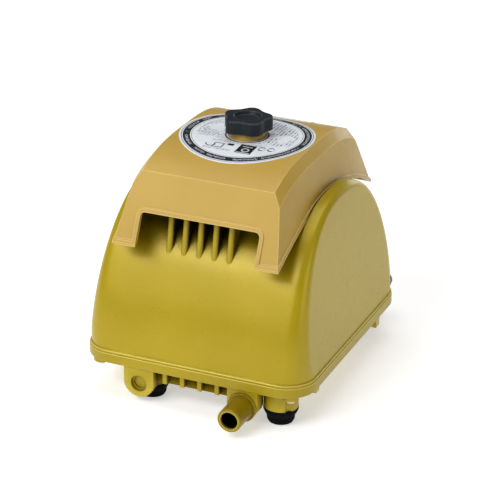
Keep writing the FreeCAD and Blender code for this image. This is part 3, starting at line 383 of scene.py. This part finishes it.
def round_label(name):
    """The round label: a white rim, a thin ring, a black band with pale marks, and a pale middle."""
    t = Tree(name)
    x, y = t.split(t.place())[:2]
    out = t.vec("LENGTH", t.join(x, y, 0.0))
    arc = t.math("MULTIPLY", t.math("ARCTAN2", y, x), 50.0)
    paper = t.mix(t.ramp(t.noise(16.0, 3.0), 0.3, 0.7), srgb(222, 228, 235), srgb(233, 237, 241))
    ink = srgb(26, 28, 32)
    black_band = band(t, out, 47.3, 53.1)
    strokes = t.ramp(t.noise(0.9, 1.0, at=t.join(arc, out, 0.0)), 0.51, 0.56)
    breaks = t.ramp(t.noise(9.0, 1.0, at=t.join(arc, 0.0, 3.0)), 0.4, 0.44)
    in_band = both(t, band(t, out, 49.1, 51.3, 0.1), strokes, breaks)
    rim_ring = band(t, out, 54.2, 54.5, 0.2)
    collar_ring = band(t, out, 17.3, 18.3, 0.3)
    inner_ring = band(t, out, 45.9, 46.1, 0.15)
    area = both(t, t.ramp(y, -15.0, -14.0), band(t, out, 21.0, 42.0, 0.3),
                t.ramp(t.noise(15.0, 1.0), 0.36, 0.43))
    left = both(t, marks(t, x, y, 2.6, 0.8), area, t.ramp(x, 4.0, 6.0, 1.0, 0.0))
    right = both(t, marks(t, y, x, 3.0, 0.9, 0.49), area, t.ramp(x, 4.0, 6.0))
    low_lines = either(t, patch(t, x, y, (-12.0, -36.0), (12.0, 2.2)),
                       patch(t, x, y, (2.0, -20.5), (24.0, 1.6)))
    small = both(t, marks(t, x, y, 1.8, 0.6), low_lines)
    box_middle = (-13.0, -29.5)
    box_sign = t.math("SUBTRACT", patch(t, x, y, box_middle, (4.2, 4.2)),
                      patch(t, x, y, box_middle, (3.3, 3.3)))
    tray = both(t, loop(t, x, y, (-20.0, -29.0), 4.0, 0.8), t.ramp(y, -29.0, -28.5, 1.0, 0.0))
    dot = patch(t, x, y, (-3.6, -25.4), (2.6, 1.8))
    square = patch(t, x, y, (11.2, -29.7), (6.8, 8.2))
    in_square = either(t, loop(t, x, y, (11.6, -31.6), 2.8, 1.1), patch(t, x, y, (11.2, -25.2), (4.2, 0.5)),
                       patch(t, x, y, (11.2, -36.6), (5.6, 0.5)))
    hooks = either(t, loop(t, x, y, (23.4, -24.6), 3.0, 1.2), loop(t, x, y, (31.0, -23.2), 3.0, 1.2))
    cuts = t.math("PINGPONG", t.math("SUBTRACT", x, 22.8), 3.8)
    open_hooks = both(t, hooks, t.ramp(cuts, 1.6, 2.4, 1.0, 0.25))
    black = either(t, black_band, rim_ring, collar_ring, inner_ring, box_sign, tray, dot, square, open_hooks)
    colour = t.mix(t.math("MULTIPLY", left, 0.95), paper, srgb(96, 104, 115))
    colour = t.mix(t.math("MULTIPLY", right, 0.9), colour, srgb(84, 90, 100))
    colour = t.mix(t.math("MULTIPLY", small, 0.85), colour, srgb(70, 76, 86))
    colour = t.mix(black, colour, ink)
    colour = t.mix(in_band, colour, srgb(214, 220, 226))
    colour = t.mix(both(t, in_square, square), colour, srgb(200, 205, 212))
    colour = t.mix(t.ramp(t.noise(2.2, 5.0, 0.7), 0.62, 0.75, 0.0, 0.2), colour, srgb(150, 148, 140))
    r = t.ramp(t.noise(6.0, 4.0), 0.3, 0.7, 0.24, 0.36)
    return t.finish(colour, r, 0.0, t.bump(t.noise(8.0, 2.0), 0.06, 0.1), Specular_IOR_Level=0.45)


def strip_label(name):
    """The pale strip behind the round label: one line of grey marks."""
    t = Tree(name)
    x, y = t.split(t.place())[:2]
    paper = t.mix(t.ramp(t.noise(9.0, 3.0), 0.3, 0.7), srgb(232, 236, 242), srgb(240, 243, 247))
    line = both(t, marks(t, x, y, 3.4, 0.9, 0.46), patch(t, x, y, (5.5, 67.5), (22.0, 3.2)))
    colour = t.mix(t.math("MULTIPLY", line, 0.7), paper, srgb(120, 126, 138))
    r = t.ramp(t.noise(5.0, 3.0), 0.3, 0.7, 0.28, 0.4)
    return t.finish(colour, r, 0.0, t.bump(t.noise(7.0), 0.05, 0.1))


DOME = gold_paint("dome_paint", srgb(174, 151, 14), srgb(168, 145, 10), 0.31, "cover")
BASE = gold_paint("base_paint", srgb(170, 148, 22), srgb(160, 138, 16), 0.36, "fins")
NOZZLE = gold_paint("nozzle_paint", srgb(142, 118, 2), srgb(132, 108, 1), 0.34)
COVER = grained_plastic("cover_plastic", srgb(194, 160, 75), srgb(188, 154, 68), 0.34, 0.7, 0.16,
                        srgb(240, 212, 142), 0.27)
KNOB = grained_plastic("knob_plastic", srgb(32, 38, 43), srgb(22, 27, 32), 0.38, 0.6, 0.2,
                       srgb(92, 100, 108), 0.2)
BLACK = grained_plastic("black_plastic", srgb(20, 20, 22), srgb(14, 14, 16), 0.45, shine=0.3)
TANK = grained_plastic("tank_plastic", srgb(46, 48, 52), srgb(38, 40, 44), 0.5, crease_highlight=srgb(90, 92, 96))
HEAD = grained_plastic("head_plastic", srgb(66, 68, 72), srgb(54, 56, 60), 0.42, crease_highlight=srgb(110, 112, 116))
NYLON = grained_plastic("bobbin_nylon", srgb(206, 200, 184), srgb(192, 186, 168), 0.45,
                        crease_highlight=srgb(230, 226, 214))
CARRIER = grained_plastic("carrier_plastic", srgb(40, 42, 46), srgb(30, 32, 36), 0.4, crease_highlight=srgb(86, 88, 92))
TERMINAL = grained_plastic("terminal_plastic", srgb(214, 212, 204), srgb(200, 198, 190), 0.4)
RUBBER = rubber("black_rubber", (0.003, 0.003, 0.003))
SEAL = rubber("seal_rubber", (0.25, 0.2, 0.04))
GREY_SEAL = rubber("grey_seal", (0.05, 0.05, 0.052))
ZINC = metal("zinc_steel", (0.62, 0.62, 0.60), 0.3)
STUD = metal("threaded_steel", (0.60, 0.60, 0.58), 0.28, thread=1.25)
SHEET = metal("sheet_steel", (0.50, 0.51, 0.53), 0.36, (0.15, 1.0, 1.0), 0.25)
ROD = metal("bright_steel", (0.66, 0.66, 0.66), 0.2, (0.1, 1.0, 1.0))
MAGNET = metal("magnet_nickel", (0.30, 0.30, 0.31), 0.32, (1.0, 1.0, 0.3), 0.3)
BRASS = metal("brass", (0.76, 0.55, 0.24), 0.3)
ALLOY = metal("pressed_alloy", (0.58, 0.59, 0.61), 0.4, (1.0, 1.0, 1.0), 0.2)
CORE = laminations("core_sheets")
COPPER = winding("copper_wire")
FOAM = foam("filter_foam")
LABEL = round_label("round_label")
STRIP = strip_label("strip_label")

paints = {
    "upper_housing": DOME, "base_housing": BASE, "outlet_nozzle": NOZZLE, "filter_cover": COVER,
    "star_knob": KNOB, "cable_gland": BLACK, "housing_gasket": SEAL, "cover_label": LABEL, "rear_label": STRIP,
    "air_tank": TANK, "tank_lid": TANK, "tank_gasket": GREY_SEAL, "rubber_mounts": RUBBER, "drive_frame": SHEET,
    "armature_rod": ROD, "magnet_carrier": CARRIER, "magnets": MAGNET, "terminal_block": TERMINAL,
    "terminal_screws": BRASS, "knob_insert": BRASS, "cover_stud": STUD, "filter_pad": FOAM,
}
by_start = {
    "foot_screws": ZINC, "foot_": RUBBER, "stator_core": CORE, "coil_bobbin": NYLON, "coil_winding": COPPER,
    "diaphragm_plates": ALLOY, "diaphragm": RUBBER, "pump_head": HEAD, "head_cover": HEAD,
    "inlet_flap": RUBBER, "outlet_flap": RUBBER, "flap_clips": ALLOY, "air_sleeve": RUBBER,
}
for name, node in nodes.items():
    paint = paints.get(name)
    if paint is None:
        paint = next((m for start, m in by_start.items() if name.startswith(start)), ZINC)
    node.data.materials.clear()
    node.data.materials.append(paint)


# ---- filter pad -----------------------------------------------------------------------------
def pad_outline(turn):
    """Where a ray from the middle meets the pad's rounded rectangle."""
    half_x, half_y, squareness = 48.3, 46.3, 9.0
    dx, dy = math.cos(turn), math.sin(turn)
    reach = (abs(dx / half_x) ** squareness + abs(dy / half_y) ** squareness) ** (-1 / squareness)
    return dx * reach, dy * reach


def pad_section():
    """The pad's section as (share of the way out from the hole, share of its height), round to the start."""
    under, side, top, hole_side = 12, 8, 14, 7
    edge_height, tuck, shrink = 0.78, 0.02, 0.985
    section = [(k / (under - 1), 0.0) for k in range(under)]
    for k in range(1, side):
        level = k / side
        section.append((1.0 - tuck * (1 - math.sin(math.pi * level)), level * edge_height))
    for k in range(top):
        across = 1 - k / (top - 1)
        section.append((shrink * across, 0.82 + 0.18 * math.sin(math.pi * across) ** 0.6))
    for k in range(1, hole_side):
        section.append((0.0, 0.8 * (1 - k / hole_side)))
    return section


def filter_pad_mesh():
    """A slab of foam with a crowned top, rounded edges and a hole for the stud's boss."""
    low, height, hole, dent_depth = 163.05, 13.9, 15.3, 0.25
    turns = 144
    section = pad_section()
    n = len(section)
    verts, faces = [], []
    for a in range(turns):
        turn = 2 * math.pi * a / turns
        ox, oy = pad_outline(turn)
        ix, iy = hole * math.cos(turn), hole * math.sin(turn)
        for share, level in section:
            wave = math.sin(7 * turn + 3 * share) * math.sin(5 * share + 2 * turn)
            dent = dent_depth * wave * (level > 0.8)
            verts.append(((ix + (ox - ix) * share) / 1000, (iy + (oy - iy) * share) / 1000,
                          (low + height * level * 0.98 + dent) / 1000))
        b = (a + 1) % turns
        for k in range(n):
            m = (k + 1) % n
            faces.append((a * n + k, b * n + k, b * n + m, a * n + m))
    mesh = bpy.data.meshes.new("filter_foam_pad")
    mesh.from_pydata(verts, [], faces)
    mesh.validate()
    for face in mesh.polygons:
        face.use_smooth = True
    return mesh


pad = bpy.data.objects.new("filter_foam_pad", filter_pad_mesh())
scene.collection.objects.link(pad)
pad.data.materials.append(FOAM)
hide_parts("filter_pad")
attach(pad, "pump_body")


# ---- diaphragms -----------------------------------------------------------------------------
def flexing_diaphragm(side):
    """A copy of the diaphragm's mesh with its placing baked in, shown in place of the hidden node. The real
    diaphragm's rim stays in the head, its middle goes with the plates, and the ring between flexes.
    """
    node = "diaphragm_" + side
    piece = bpy.data.objects.new("rubber_" + node, nodes[node].data.copy())
    scene.collection.objects.link(piece)
    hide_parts(node)
    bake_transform(piece)
    return piece


for side in ("left", "right"):
    flexing_diaphragm(side)

# ---- camera, light and floor ---------------------------------------------------------------
AZ, EL, ROLL = math.radians(22.795), math.radians(23.939), math.radians(0.871)
LOOK_AT = Vector((0, 0, 0.109))
DISTANCE, MOVE_RIGHT, MOVE_DOWN = 1.8158, 0.001921, 0.007589
SENSOR, FOCAL_PIXELS, FRAME_PIXELS, SHIFT = 36.0, 2159.5, 500.0, 0.0039

back = Vector((math.sin(AZ) * math.cos(EL), -math.cos(AZ) * math.cos(EL), math.sin(EL)))
level = Vector((math.cos(AZ), math.sin(AZ), 0.0))
lift = back.cross(level)
right = level * math.cos(ROLL) + lift * math.sin(ROLL)
up = lift * math.cos(ROLL) - level * math.sin(ROLL)
camera = bpy.data.objects.new("camera", bpy.data.cameras.new("camera"))
scene.collection.objects.link(camera)
scene.camera = camera
place = LOOK_AT + back * DISTANCE + right * MOVE_RIGHT - up * MOVE_DOWN
rotation = Matrix((right, up, back)).transposed()
camera.matrix_world = Matrix.Translation(place) @ rotation.to_4x4()
camera.data.sensor_width = SENSOR
camera.data.lens = SENSOR * FOCAL_PIXELS / FRAME_PIXELS
camera.data.shift_x = SHIFT
camera.data.clip_start, camera.data.clip_end = 0.05, 50.0


def area_light(name, at, aim, size, power):
    """A white rectangular light turned towards aim."""
    data = bpy.data.lights.new(name, "AREA")
    data.shape = "RECTANGLE"
    data.size, data.size_y = size
    data.energy = power
    light = bpy.data.objects.new(name, data)
    scene.collection.objects.link(light)
    light.location = at
    light.rotation_mode = "QUATERNION"
    light.rotation_quaternion = (Vector(aim) - Vector(at)).to_track_quat("-Z", "Y")


area_light("key", (-0.67, -1.3, 1.45), (0, -0.07, 0.14), (1.3, 0.45), 18)
area_light("front", (-0.75, -1.9, 0.9), (0, 0, 0.12), (1.6, 1.0), 10)
area_light("top", (-0.1, 0.25, 1.7), (0, 0, 0.1), (1.6, 1.3), 14)
area_light("right", (1.7, -0.3, 0.6), (0, 0, 0.12), (0.9, 0.9), 4)
area_light("rear", (0.2, 2.1, 0.36), (0, 0, 0.12), (1.3, 0.5), 5)

WORLD_LIGHT = 0.14
world = bpy.data.worlds.new("world")
scene.world = world
world.use_nodes = True
world.node_tree.nodes["Background"].inputs[0].default_value = (1, 1, 1, 1)
world.node_tree.nodes["Background"].inputs[1].default_value = WORLD_LIGHT

FLOOR_HALF, FLOOR_GLOW = 8.0, 0.48
floor_mesh = bpy.data.meshes.new("floor")
corners = [(x * FLOOR_HALF, y * FLOOR_HALF, 0) for x, y in ((-1, -1), (1, -1), (1, 1), (-1, 1))]
floor_mesh.from_pydata(corners, [], [(0, 1, 2, 3)])
floor = bpy.data.objects.new("floor", floor_mesh)
scene.collection.objects.link(floor)
floor_tree = Tree("floor")
floor_colour = floor_tree.mix(floor_tree.noise(80.0), (0.86, 0.86, 0.86), (0.84, 0.84, 0.84))
floor_mesh.materials.append(floor_tree.finish(floor_colour, 0.7, Emission_Color=(1.0, 1.0, 1.0, 1.0),
                                              Emission_Strength=FLOOR_GLOW))
scene.view_settings.view_transform = "Standard"
